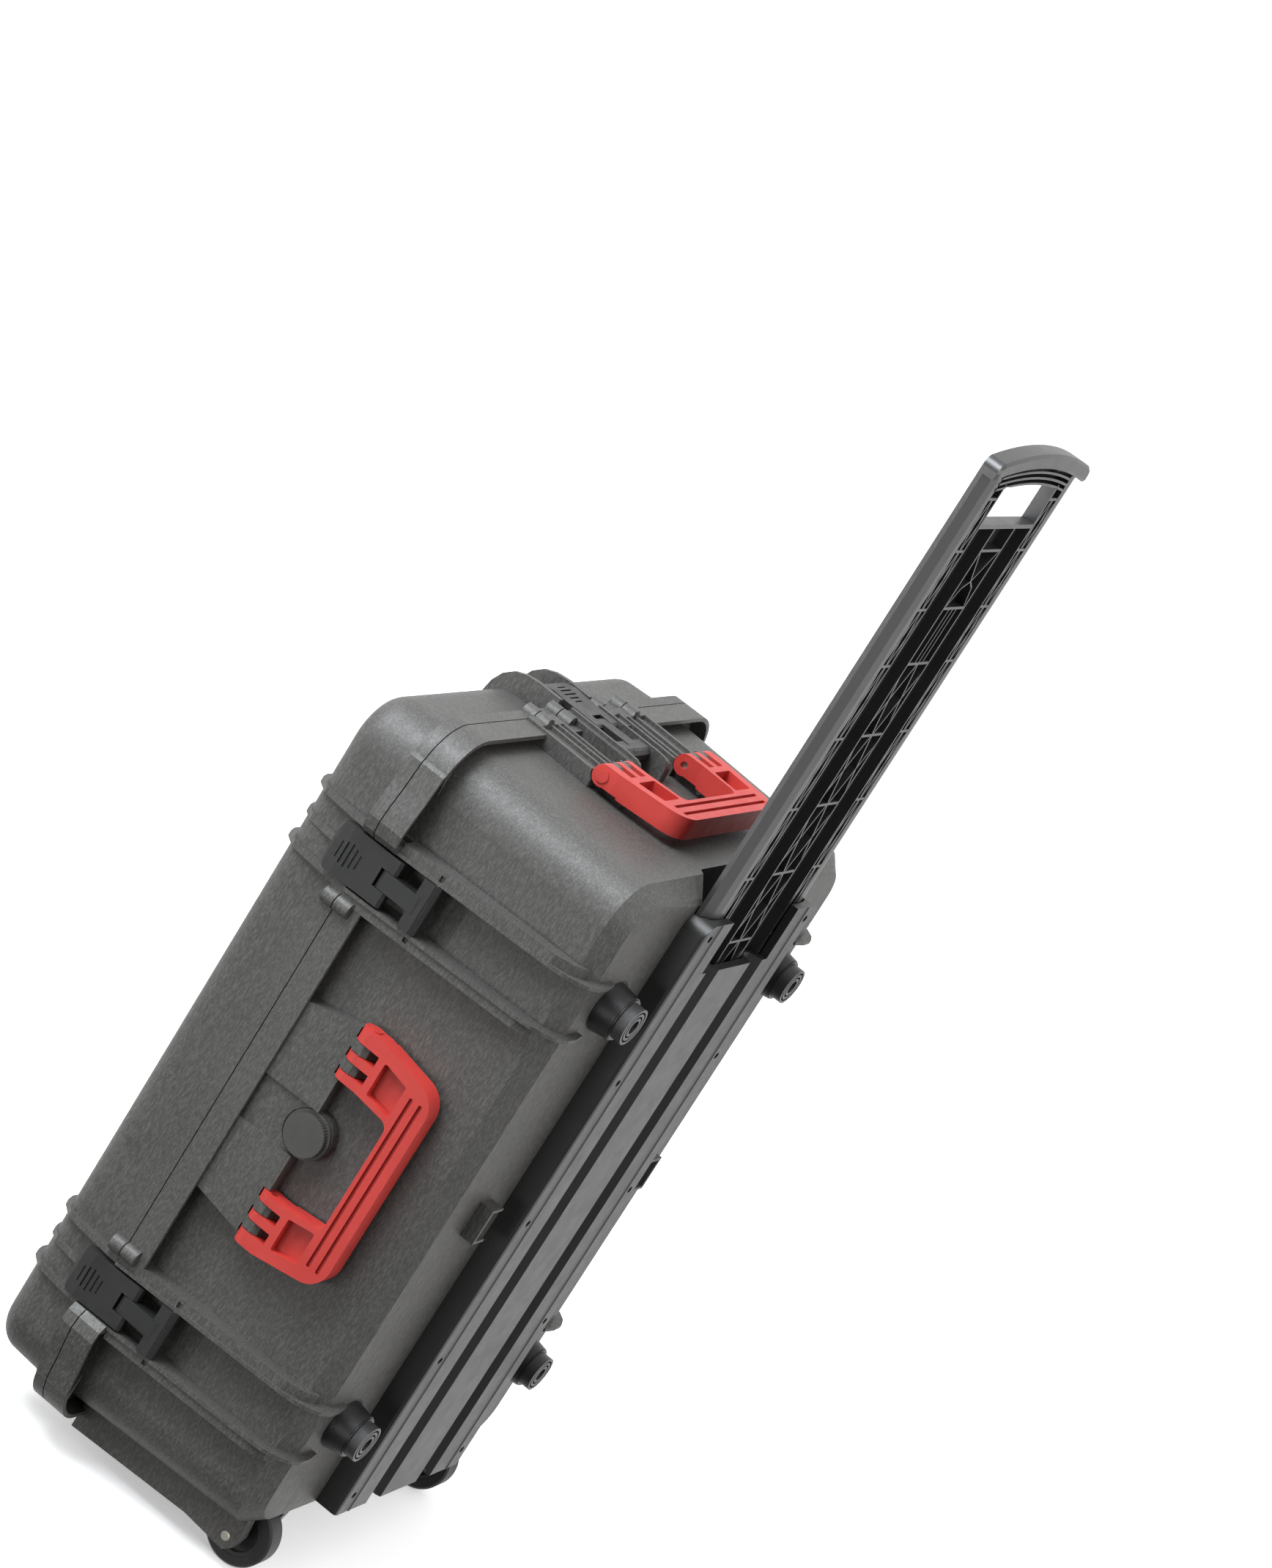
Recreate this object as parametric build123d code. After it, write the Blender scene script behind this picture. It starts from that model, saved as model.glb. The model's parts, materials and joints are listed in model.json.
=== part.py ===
from build123d import *
import math
import os

os.makedirs("parts", exist_ok=True)

# Frame: the case stands on its wheel end. +Z is up along the case, -Y is the latch side,
# +X is the underside with the feet and the trolley, -X is the lid.
# Everything is drawn about the middle of the case and lifted by CASE_Z on export.
CASE_Z = 351.6

# Planes along X
FOOT_X = 146.0
HOUSING_X = 141.0
BASE_X = 121.0
CREASE_X = 117.7
WALL_END_X = 104.0
SEAM_X = -73.8
LID_BAND_X = -85.0
LID_X = -140.5
RIM_X = -53.0

# Shell half sizes (Y, Z) and corner radii
SEAM_HALF = (222.3, 311.3)
WALL_END_HALF = (214.5, 303.5)
CREASE_HALF = (199.0, 292.0)
BOTTOM_HALF = (112.0, 288.0)
RIM_HALF = (240.0, 322.0)
LID_HALF_LOW = (231.0, 311.0)
LID_HALF_TOP = (229.0, 309.0)
CORNER_R = 40.0
LID_EDGE_R = 19.0
WALL = 4.0

# Latch ribs
RIB_Z = 200.0
RIB_OFFSET = 22.2
CREST_W = 3.0
LEDGE_W = 8.0
SEAM_GAP = 0.9
SEAM_GAP_DEPTH = 1.6
POCKET_FLOOR = 215.0
RIB_SEAM_Y = 243.6
RIB_END_Y = 231.4
END_RIB_OFFSET = 24.0
END_RIB_Z = 329.0
END_RIB_TIP = 1.0

# Latches (drawn for the front side, outward = -Y)
LINK_PIN_X = -14.0
LINK_PIN_OUT = 236.5
LEVER_PIN_X = -50.0
LEVER_PIN_OUT = 236.5
LEVER_HALF = 21.2
LINK_HALF = 21.7
LATCH_PIN_R = 2.0
LATCH_PIN_HOLE_R = 2.06

# Carry handles
HANDLE_PIVOT_X = 2.0
HANDLE_PIVOT_OUT = 231.0
HANDLE_R = 9.0
HANDLE_GRIP_X0 = 52.0
HANDLE_GRIP_X1 = 75.0
HANDLE_THICK = 18.5
HANDLE_CORNER_R = 22.0
HANDLE_PIN_R = 3.0
HANDLE_PIN_HOLE_R = 3.06
FINGERS = ((54.0, 61.5), (71.0, 78.5), (88.0, 100.0))
KNUCKLES = ((62.0, 70.5), (79.0, 87.5))
HANDLE_POCKET_R = 10.2

# Hinges
HINGE_Y = 243.0
HINGE_R = 7.8
HINGE_PIN_R = 2.5
HINGE_PIN_HOLE_R = 2.56

# Wheels
WHEEL_X = 98.1
WHEEL_Z = -322.1
WHEEL_R = 29.5
WHEEL_Y = (145.4, 164.3)
AXLE_R = 4.0
AXLE_BORE_R = 4.06
CHEEK_OUT = (171.0, 185.0)
CHEEK_IN = (130.0, 138.0)
WELL_R = 34.0

# Feet
FOOT_Y = 155.6
FOOT_Z = 200.0
FOOT_R = 16.0
FOOT_PAD_H = 12.0
FOOT_RIM_X = 137.0
FOOT_WEB = 4.0

# Trolley
HOUSING_Z0 = -287.5
HOUSING_MOUTH_Z = 235.0
EAR_Z = 283.0
HANDLE_HALF = 100.8
BACK_X = 122.4
FRONT_X = 133.6
WEB_X = 125.0
TROLLEY_Z0 = 108.0
TROLLEY_TOP = 703.5
GRIP_Z0 = 673.0
GRIP_BOW = 11.0
GRIP_DEPTH = 13.0
GRIP_NOSE_X = 137.4
GRIP_CORNER_R = 9.0
OPENING_Z0 = 637.0
GROOVE_Y = 44.0
SCREW_ROW_Y = 105.2
SCREW_ZS = (-250.0, -125.0, 0.0, 110.0, 215.0)
HOLE_ZS = (-269.5, -134.5, 0.6, 135.6, 270.7)

# Valve
VALVE_X = -1.5


def save(parts, name):
    """One node: the solids of one part or of a list of parts."""
    listed = parts if isinstance(parts, (list, tuple)) else [parts]
    moved = [Pos(0, 0, CASE_Z) * solid for part in listed for solid in part.solids()]
    shape = moved[0] if len(moved) == 1 else Compound(moved)
    export_step(shape, "parts/" + name + ".step")


def slab(x, half, radius):
    """Rounded rectangle on the plane X = x, half sizes in Y and Z."""
    return Plane.YZ.offset(x) * RectangleRounded(2 * half[0], 2 * half[1], radius)


def frustum(x0, half0, r0, x1, half1, r1):
    return Solid.make_loft(
        [slab(x0, half0, r0).wire(), slab(x1, half1, r1).wire()], ruled=True
    )


def box(x0, x1, y0, y1, z0, z1):
    return Pos((x0 + x1) / 2, (y0 + y1) / 2, (z0 + z1) / 2) * Box(
        abs(x1 - x0), abs(y1 - y0), abs(z1 - z0)
    )


def rod_z(x, y, z0, z1, radius):
    return Pos(x, y, (z0 + z1) / 2) * Cylinder(radius, abs(z1 - z0))


def rod_y(x, z, y0, y1, radius):
    return Pos(x, (y0 + y1) / 2, z) * Rot(90, 0, 0) * Cylinder(radius, abs(y1 - y0))


def rod_x(y, z, x0, x1, radius):
    return Pos((x0 + x1) / 2, y, z) * Rot(0, 90, 0) * Cylinder(radius, abs(x1 - x0))


def plate_z(points, z0, z1):
    """XY outline extruded from z0 to z1."""
    face = make_face(Polyline(*points, close=True))
    return Pos(0, 0, z0) * extrude(face, z1 - z0, dir=(0, 0, 1))


def fuse(parts):
    first, *rest = parts
    return first.fuse(*rest) if rest else first


def mirrored(part, plane):
    return mirror(part, about=plane)


def both_z(part):
    return [part, mirrored(part, Plane.XY)]


def both_y(part):
    return [part, mirrored(part, Plane.XZ)]


def to_end(part, shift):
    """Turn something drawn for the front side (-Y) onto the +Z end."""
    return Pos(0, 0, shift) * Rot(-90, 0, 0) * part


END_SHIFT = END_RIB_Z - RIB_SEAM_Y


def wall_y(x):
    """Half width of the base wall at height x."""
    t = (x - SEAM_X) / (WALL_END_X - SEAM_X)
    return SEAM_HALF[0] + t * (WALL_END_HALF[0] - SEAM_HALF[0])


# ---------------------------------------------------------------- base shell
def base_outer():
    wall = frustum(SEAM_X, SEAM_HALF, CORNER_R, WALL_END_X, WALL_END_HALF, CORNER_R - 4)
    chamfer_band = frustum(
        WALL_END_X, WALL_END_HALF, CORNER_R - 4, CREASE_X, CREASE_HALF, CORNER_R - 12
    )
    bottom = frustum(CREASE_X, CREASE_HALF, CORNER_R - 12, BASE_X, BOTTOM_HALF, 12)
    rim = extrude(slab(SEAM_X, RIM_HALF, CORNER_R + 2), RIM_X - SEAM_X, dir=(1, 0, 0))
    skirt_half = (RIM_HALF[0] - 3.5, RIM_HALF[1] - 3.5)
    hollow = extrude(slab(SEAM_X + 5, skirt_half, CORNER_R - 1), 30, dir=(1, 0, 0))
    return fuse([rim - hollow, wall, chamfer_band, bottom])


def base_cavity():
    low = (SEAM_HALF[0] - WALL, SEAM_HALF[1] - WALL)
    high = (WALL_END_HALF[0] - WALL, WALL_END_HALF[1] - WALL)
    floor = (CREASE_HALF[0] - WALL, CREASE_HALF[1] - WALL)
    wall = frustum(SEAM_X - 1, low, CORNER_R - 4, WALL_END_X - 1, high, CORNER_R - 8)
    end = frustum(
        WALL_END_X - 1, high, CORNER_R - 8, CREASE_X - WALL, floor, CORNER_R - 16
    )
    return wall + end


def base_rib(sign, ledge_side):
    """One latch rib: a thin crest beside the channel and a lower ledge."""
    crest = (
        (SEAM_X, -RIB_SEAM_Y),
        (88.0, -RIB_END_Y),
        (101.0, -229.0),
        (112.0, -224.0),
        (120.0, -216.0),
        (124.5, -205.0),
        (125.0, -192.0),
        (122.5, -177.0),
        (112.0, -177.0),
        (100.0, -205.0),
        (SEAM_X, -217.0),
    )
    ledge = (
        (SEAM_X, -RIB_SEAM_Y + 2.0),
        (88.0, -RIB_END_Y + 2.0),
        (103.0, -223.0),
        (111.0, -212.0),
        (105.0, -205.0),
        (SEAM_X, -217.0),
    )
    inner = sign * RIB_OFFSET
    outer = inner + ledge_side * CREST_W
    far = outer + ledge_side * LEDGE_W
    rib = plate_z(crest, min(inner, outer), max(inner, outer))
    shelf = plate_z(ledge, min(outer, far), max(outer, far))
    return rib + shelf


def plate_x(points, x0, x1):
    """YZ outline extruded from x0 to x1."""
    face = make_face(Plane.YZ.offset(x0) * Polyline(*points, close=True))
    return extrude(face, x1 - x0, dir=(1, 0, 0))


def seam_lobe(middle, radius, x0, x1, out):
    """Rounded stop beside a rib, running across the seam of the rim."""
    disc = rod_x(-out + radius, middle, x0, x1, radius)
    web = box(x0, x1, -out + radius, -out + radius + 10, middle - radius, middle + radius)
    return disc + web


FLARE = (
    (-232.0, 302.0),
    (-240.0, 290.0),
    (-243.6, 268.0),
    (-248.6, 250.0),
    (-250.8, 238.0),
    (-249.0, 228.0),
    (-243.6, 222.5),
    (-232.0, 222.5),
)
SCOOP = (
    (-247.0, 229.5),
    (-247.6, 240.0),
    (-244.0, 256.0),
    (-240.5, 272.0),
    (-237.6, 290.0),
    (-236.6, 290.0),
    (-229.0, 262.0),
    (-226.0, 229.5),
)


def latch_pocket_cut():
    """Room behind a latch, cut down to the wall."""
    points = (
        (SEAM_X - 1, -260.0),
        (10.0, -260.0),
        (10.0, -wall_y(10) - 0.2),
        (-4.0, -POCKET_FLOOR),
        (RIM_X, -POCKET_FLOOR),
        (RIM_X, -wall_y(-60) - 1.2),
        (SEAM_X - 1, -wall_y(-60) - 1.2),
    )
    return plate_z(points, -RIB_OFFSET, RIB_OFFSET)


def pin_hole_z(x, out, radius):
    return rod_z(x, -out, -30, 30, radius)


def front_pad():
    points = (
        (SEAM_X, -237.5),
        (-2.0, -233.5),
        (-2.0, -210.0),
        (SEAM_X, -210.0),
    )
    outline = make_face(
        Plane.XZ
        * Polyline(
            (SEAM_X, -82.5), (-2.0, -97.0), (-2.0, 97.0), (SEAM_X, 82.5), close=True
        )
    )
    block = Pos(0, -200, 0) * extrude(outline, 60, dir=(0, -1, 0))
    pad = plate_z(points, -100, 100) & block
    strip = plate_z(
        ((SEAM_X - 1, -250), (8, -250), (8, -230.4), (SEAM_X - 1, -234.4)), -20.5, 20.5
    )
    return pad - strip


def knuckle(z0, z1):
    """Lug that carries a carry-handle pin."""
    points = (
        (-6.0, -236.0),
        (-4.0, -239.0),
        (4.0, -239.6),
        (9.0, -237.0),
        (11.5, -231.0),
        (22.0, -214.0),
        (-6.0, -214.0),
    )
    return plate_z(points, z0, z1)


def raised_block():
    """End of the +Z side: blocks between the rim and the handle knuckles."""
    points = (
        (SEAM_X, -239.0),
        (-4.5, -237.0),
        (-4.5, -214.0),
        (SEAM_X, -216.0),
    )
    return plate_z(points, 55.0, 100.0)


def handle_clearance():
    """Swept room for the handle fingers round their pin."""
    cuts = []
    for low, high in FINGERS:
        cut = rod_z(HANDLE_PIVOT_X, -HANDLE_PIVOT_OUT, low - 0.4, high + 0.4, HANDLE_POCKET_R)
        cuts += both_z(cut)
    return cuts


def wheel_side():
    """Cheeks, skid and well for the wheel on the -Y side."""
    well = rod_y(WHEEL_X, WHEEL_Z, -CHEEK_OUT[0], -CHEEK_IN[1], WELL_R)
    skid = (
        (RIM_X - 4, -336.4),
        (60.0, -329.5),
        (WHEEL_X - 6, -332.0),
        (WHEEL_X + 3, -332.6),
        (WHEEL_X + 9, -327.0),
        (WHEEL_X + 11, -318.0),
        (WHEEL_X + 9.0, -296.0),
        (RIM_X - 4, -300.0),
    )
    face = make_face(Plane.XZ * Polyline(*[(x, z) for x, z in skid], close=True))
    cheek = Pos(0, -CHEEK_OUT[0], 0) * extrude(
        face, CHEEK_OUT[1] - CHEEK_OUT[0], dir=(0, -1, 0)
    )
    inner = (
        (RIM_X - 4, -325.0),
        (60.0, -322.0),
        (WHEEL_X - 8, -333.0),
        (WHEEL_X + 4, -334.0),
        (WHEEL_X + 11, -325.0),
        (WHEEL_X + 16, -300.0),
        (WHEEL_X + 16, -288.0),
        (RIM_X - 4, -300.0),
    )
    inner_face = make_face(Plane.XZ * Polyline(*[(x, z) for x, z in inner], close=True))
    inner_cheek = Pos(0, -CHEEK_IN[0], 0) * extrude(
        inner_face, CHEEK_IN[1] - CHEEK_IN[0], dir=(0, -1, 0)
    )
    bridge = box(RIM_X - 4, 58.0, -CHEEK_OUT[0], -CHEEK_IN[1], -318.0, -300.0)
    axle = rod_y(WHEEL_X, WHEEL_Z, -200, -100, AXLE_R)
    return [cheek, inner_cheek, bridge], [well, axle]


def foot_boss(y, z):
    top = FOOT_RIM_X - 1.2
    cone = Pos((110 + top) / 2, y, z) * Rot(0, 90, 0) * Cone(23.5, 19.0, top - 110)
    step = rod_x(y, z, top - 2, FOOT_RIM_X, 18.2)
    return cone + step


def rest_lug():
    """Small hollow lug half way along each side of the underside."""
    lug = box(112.0, 131.5, -157.5, -139.0, -16.0, 16.0)
    hollow = box(119.5, 140.0, -154.5, -130.0, -13.5, 13.5)
    return lug - hollow


def hinge_knuckles(spans):
    return [rod_z(SEAM_X, HINGE_Y, z0, z1, HINGE_R) for z0, z1 in spans]


BASE_HINGE = ((-19.0, -9.4), (9.4, 19.0))
LID_HINGE = ((-9.0, 9.0),)
NUB_ANGLES = (32.0, 58.0)


def hinge_sets(spans):
    knuckles = []
    for middle in (-RIB_Z, RIB_Z):
        knuckles += [Pos(0, 0, middle) * k for k in hinge_knuckles(spans)]
    return knuckles


def make_base():
    body = base_outer()
    cavity = base_cavity()
    solids = [body]
    cuts = []
    keep = []
    # latch ribs, front and hinge side
    pair = base_rib(-1, -1) + base_rib(1, 1)
    for middle in (-RIB_Z, RIB_Z):
        for rib in both_y(pair):
            solids.append(Pos(0, 0, middle) * rib)
    # link lugs: the ribs carry the link pins
    for middle in (-RIB_Z, RIB_Z):
        cuts.append(Pos(0, 0, middle) * pin_hole_z(LINK_PIN_X, LINK_PIN_OUT, LATCH_PIN_R))
        cuts.append(Pos(0, 0, middle) * latch_pocket_cut())
    # end latch ribs
    end_profile = (
        (SEAM_X, -RIB_SEAM_Y),
        (-14.0, -RIB_SEAM_Y + 1.0),
        (END_RIB_TIP - 7.0, -RIB_SEAM_Y + 1.6),
        (END_RIB_TIP - 3.0, -RIB_SEAM_Y + 3.4),
        (END_RIB_TIP - 0.8, -RIB_SEAM_Y + 7.0),
        (END_RIB_TIP, -RIB_SEAM_Y + 12.0),
        (END_RIB_TIP, -214.0),
        (SEAM_X, -214.0),
    )
    end_rib = plate_z(end_profile, END_RIB_OFFSET, END_RIB_OFFSET + 3.5)
    end_ledge = plate_z(
        [(x, y + 2.5 if y < -220 else y) for x, y in end_profile],
        END_RIB_OFFSET + 3.5,
        END_RIB_OFFSET + 11.0,
    )
    for piece in (end_rib, end_ledge, raised_block()):
        solids += [to_end(p, END_SHIFT) for p in both_z(piece)]
    cuts.append(
        to_end(
            box(SEAM_X - 1, END_RIB_TIP, -262, -223.5, -END_RIB_OFFSET, END_RIB_OFFSET),
            END_SHIFT,
        )
    )
    cuts.append(to_end(pin_hole_z(LINK_PIN_X - 6, LINK_PIN_OUT, LATCH_PIN_R), END_SHIFT))
    for low, high in ((58.5, 64.5), (68.0, 77.0), (80.5, 96.0)):
        valley = plate_z(
            ((SEAM_X + 9, -250), (-2, -250), (-2, -234.2), (SEAM_X + 13, -235.6)), low, high
        )
        cuts += [to_end(c, END_SHIFT) for c in both_z(valley)]
    # front pad, knuckles and lobes
    solids.append(front_pad())
    for low, high in KNUCKLES:
        lug = knuckle(low, high)
        solids += both_z(lug)
        solids += [to_end(p, 323.0 - HANDLE_PIVOT_OUT) for p in both_z(lug)]
    for lobe in both_z(seam_lobe(164.0, 7.0, SEAM_X, SEAM_X + 13, 247.0)):
        solids.append(lobe)
    solids += both_z(plate_x(FLARE, SEAM_X, RIM_X))
    cuts += both_z(plate_x(SCOOP, SEAM_X + 6, RIM_X + 1))
    for middle in (39.0, 80.0):
        lobe = seam_lobe(middle, 7.5, SEAM_X, SEAM_X + 12, 243.0)
        solids += [to_end(p, END_SHIFT) for p in both_z(lobe)]
    cuts += handle_clearance()
    cuts += [to_end(c, 323.0 - HANDLE_PIVOT_OUT) for c in handle_clearance()]
    pin = rod_z(HANDLE_PIVOT_X, -HANDLE_PIVOT_OUT, 60.0, 89.0, HANDLE_PIN_R)
    cuts += both_z(pin)
    cuts += [to_end(c, 323.0 - HANDLE_PIVOT_OUT) for c in both_z(pin)]
    # hinge side
    solids += hinge_sets(BASE_HINGE)
    solids += [
        box(SEAM_X, SEAM_X + 16, HINGE_Y - 8, HINGE_Y + 3, m + z0, m + z1)
        for m in (-RIB_Z, RIB_Z)
        for z0, z1 in BASE_HINGE
    ]
    for middle in (-RIB_Z, RIB_Z):
        cuts.append(rod_z(SEAM_X, HINGE_Y, middle - 30, middle + 30, HINGE_PIN_R))
        gap = rod_z(SEAM_X, HINGE_Y, middle - 9.4, middle + 9.4, HINGE_R + 0.6)
        cuts.append(gap)
    # wheels
    add, cut = wheel_side()
    for piece in add:
        solids += both_y(piece)
    for piece in cut:
        cuts += both_y(piece)
    for middle in (-RIB_Z, RIB_Z):
        side = RIB_OFFSET + WALL
        keep.append(
            box(RIM_X - WALL, 12.0, -230, -POCKET_FLOOR + WALL, middle - side, middle + side)
        )
    wheel_keep = rod_y(WHEEL_X, WHEEL_Z, -CHEEK_OUT[1], -CHEEK_IN[0], WELL_R + WALL)
    keep += both_y(wheel_keep)
    # feet and lugs
    for y in (-FOOT_Y, FOOT_Y):
        for z in (-FOOT_Z, FOOT_Z):
            solids.append(foot_boss(y, z))
            cuts.append(rod_x(y, z, FOOT_X - FOOT_PAD_H, FOOT_X + 1, FOOT_R + 0.05))
            cuts.append(rod_x(y, z, 118, FOOT_X, 1.75))
            keep.append(rod_x(y, z, 100, 140, 9))
    solids += both_y(rest_lug())
    # recess for the hand at the handle end
    recess_face = make_face(
        Plane.XY
        * Polyline(
            (99.0, -74.0), (130.0, -104.0), (130.0, 104.0), (99.0, 74.0), close=True
        )
    )
    recess = Pos(0, 0, 238.0) * extrude(recess_face, 90, dir=(0, 0, 1))
    cuts.append(recess)
    keep.append(box(95.0, 130.0, -104, 104, 233.0, 320.0))
    # valve bore
    solids.append(rod_y(VALVE_X, 0, -212.0, -228.0, 20.6))
    cuts.append(rod_y(VALVE_X, 0, -190.0, -260.0, 7.0))
    cuts.append(rod_y(VALVE_X, 0, -226.2, -260.0, 9.5))
    cuts.append(rod_y(VALVE_X, 0, -228.0, -260.0, 20.6))
    # screw holes for the trolley housing
    for z in SCREW_ZS:
        for y in (-SCREW_ROW_Y, SCREW_ROW_Y):
            cuts.append(rod_x(y, z, 100, 130, 1.5))
    inner = cavity
    for piece in keep:
        inner = inner - piece
    shell = fuse(solids)
    for piece in cuts + list(inner.solids()):
        shell = shell - piece
    return shell


# ---------------------------------------------------------------- lid shell
def lid_rib(z0, z1, proud, reach):
    wall = LID_HALF_TOP[0]
    points = (
        (LID_BAND_X + 1, -RIM_HALF[0]),
        (LID_X + 22, -wall - proud),
        (LID_X + 9, -wall - proud + 3),
        (LID_X - proud + 2, -wall + 11),
        (LID_X - proud, -wall + 20),
        (LID_X - proud + 0.5, -reach - 12),
        (LID_X + 1, -reach),
        (LID_X + 22, -reach),
        (LID_BAND_X + 1, -wall + 3),
    )
    return plate_z(points, z0, z1)


def corner_nubs():
    """Two small pegs beside the lid band at each corner."""
    pegs = []
    for angle in NUB_ANGLES:
        turn = math.radians(angle)
        y = LID_HALF_LOW[0] - CORNER_R + CORNER_R * math.cos(turn)
        z = LID_HALF_LOW[1] - CORNER_R + CORNER_R * math.sin(turn)
        for side in (-y, y):
            pegs += both_z(rod_x(side, z, LID_BAND_X - 4.0, LID_BAND_X + 1, 2.3))
    return pegs


def make_lid():
    band = extrude(
        slab(LID_BAND_X, RIM_HALF, CORNER_R + 2), SEAM_X - LID_BAND_X, dir=(1, 0, 0)
    )
    wall = frustum(LID_X, LID_HALF_TOP, CORNER_R, LID_BAND_X + 1, LID_HALF_LOW, CORNER_R)
    wall = fillet(wall.faces().sort_by(Axis.X)[0].edges(), LID_EDGE_R)
    low = (LID_HALF_LOW[0] - WALL, LID_HALF_LOW[1] - WALL)
    top = (LID_HALF_TOP[0] - WALL, LID_HALF_TOP[1] - WALL)
    hollow = frustum(LID_X + WALL, top, CORNER_R - 4, SEAM_X - 6, low, CORNER_R - 4)
    hollow = fillet(hollow.faces().sort_by(Axis.X)[0].edges(), LID_EDGE_R - 3)
    mouth_half = (SEAM_HALF[0] - WALL, SEAM_HALF[1] - WALL)
    mouth = extrude(slab(SEAM_X - 8, mouth_half, CORNER_R - 4), 10, dir=(1, 0, 0))
    gasket_outer = extrude(slab(SEAM_X - 4, (229.5, 315.5), 40), 6, dir=(1, 0, 0))
    gasket_inner = extrude(slab(SEAM_X - 5, (224.5, 310.5), 36), 8, dir=(1, 0, 0))
    solids = [band, wall]
    for middle in (-RIB_Z, RIB_Z):
        for offset in (-RIB_OFFSET, RIB_OFFSET):
            z0 = middle + offset - (CREST_W + 2 if offset < 0 else 0)
            rib = lid_rib(z0, z0 + CREST_W + 2, 5.5, 185.0)
            solids += both_y(rib)
        solids.append(lid_rib(middle - 3, middle + 3, 3.0, 188.0))
    arch = (
        (LID_BAND_X + 1, -244.0),
        (-107.0, -244.4),
        (-119.0, -243.2),
        (-129.0, -239.6),
        (-136.5, -233.0),
        (-141.5, -223.0),
        (-143.6, -212.0),
        (-143.6, -200.0),
        (LID_X, -192.0),
        (LID_X + 8, -192.0),
        (LID_BAND_X + 1, -222.0),
    )
    rib = plate_z(arch, END_RIB_OFFSET, END_RIB_OFFSET + 5.5)
    solids += [to_end(p, END_SHIFT) for p in both_z(rib)]
    for lobe in both_z(seam_lobe(164.0, 7.0, SEAM_X - 12, SEAM_X, 247.0)):
        solids.append(lobe)
    solids += both_z(plate_x(FLARE, LID_BAND_X, SEAM_X))
    for middle in (39.0, 80.0):
        lobe = seam_lobe(middle, 7.5, SEAM_X - 12, SEAM_X, 243.0)
        solids += [to_end(p, END_SHIFT) for p in both_z(lobe)]
    solids += corner_nubs()
    solids += hinge_sets(LID_HINGE)
    solids += [
        box(SEAM_X - 16, SEAM_X - 0.5, HINGE_Y - 8, HINGE_Y + 3, m + z0, m + z1)
        for m in (-RIB_Z, RIB_Z)
        for z0, z1 in LID_HINGE
    ]
    cuts = [hollow, mouth, gasket_outer - gasket_inner]
    # room for each lever and its pins
    for middle in (-RIB_Z, RIB_Z):
        cuts.append(
            box(SEAM_X - 30, SEAM_X + 1, -262, -237.0, middle - RIB_OFFSET, middle + RIB_OFFSET)
        )
        cuts.append(rod_z(SEAM_X, HINGE_Y, middle - 26, middle + 26, HINGE_PIN_HOLE_R))
        for z0, z1 in BASE_HINGE:
            cuts.append(
                rod_z(SEAM_X, HINGE_Y, middle + z0 - 0.4, middle + z1 + 0.4, HINGE_R + 0.6)
            )
            cuts.append(
                box(SEAM_X - 9, SEAM_X + 1, HINGE_Y - 9, HINGE_Y + 9,
                    middle + z0 - 0.4, middle + z1 + 0.4)
            )
    cuts.append(
        to_end(
            box(SEAM_X - 30, SEAM_X + 1, -262, -237.0, -END_RIB_OFFSET, END_RIB_OFFSET),
            END_SHIFT,
        )
    )
    cuts.append(seam_groove())
    shell = fuse(solids)
    for piece in cuts:
        shell = shell - piece
    return shell


def seam_groove():
    """Shadow gap along the parting line, left out where the hinges are."""
    strip = box(SEAM_X - SEAM_GAP, SEAM_X + 1, -262, 262, -345, 345)
    core_half = (RIM_HALF[0] - SEAM_GAP_DEPTH, RIM_HALF[1] - SEAM_GAP_DEPTH)
    core = extrude(slab(SEAM_X - 2, core_half, CORNER_R), 4, dir=(1, 0, 0))
    strip = strip - core
    for middle in (-RIB_Z, RIB_Z):
        strip = strip - box(SEAM_X - 3, SEAM_X + 3, 225, 265, middle - 45, middle + 45)
    return strip


def make_gasket():
    outer = extrude(slab(SEAM_X - 4, (229.2, 315.2), 39.7), 4, dir=(1, 0, 0))
    inner = extrude(slab(SEAM_X - 5, (224.8, 310.8), 36.3), 6, dir=(1, 0, 0))
    return outer - inner


# ---------------------------------------------------------------- latches
def make_lever():
    """Latch lever drawn at z = 0, outward = -Y."""
    profile = (
        (-104.0, -238.6),
        (-100.0, -243.0),
        (-90.0, -244.2),
        (-76.0, -243.4),
        (-46.0, -242.6),
        (-43.6, -240.4),
        (-43.6, -234.0),
        (-46.0, -232.6),
        (-56.0, -232.6),
        (-60.0, -238.4),
        (-98.0, -238.4),
    )
    body = plate_z(profile, -LEVER_HALF, LEVER_HALF)
    free_end = -98.0
    prongs = LEVER_HALF - 0.8
    sides = Polyline(
        (free_end, LEVER_HALF), (-62.0, prongs), (-43.0, prongs),
        (-43.0, -prongs), (-62.0, -prongs), (free_end, -LEVER_HALF),
    )
    bow = ThreePointArc((free_end, -LEVER_HALF), (-104.5, 0), (free_end, LEVER_HALF))
    outline = make_face(Plane.XZ * (sides + bow))
    body = body & (Pos(0, -220, 0) * extrude(outline, 40, dir=(0, -1, 0)))
    slot = box(-57.0, -40.0, -246, -230, -8.0, 8.0)
    body = body - slot - rod_z(LEVER_PIN_X, -LEVER_PIN_OUT, -20, 20, LATCH_PIN_R)
    for index, half in enumerate((6.0, 8.0, 9.0, 7.0, 5.0)):
        x = -94.0 + 4.6 * index
        body = body - box(x, x + 1.6, -246, -242.8 + 0.1 * index, -half - 2, half)
    return body


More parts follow.
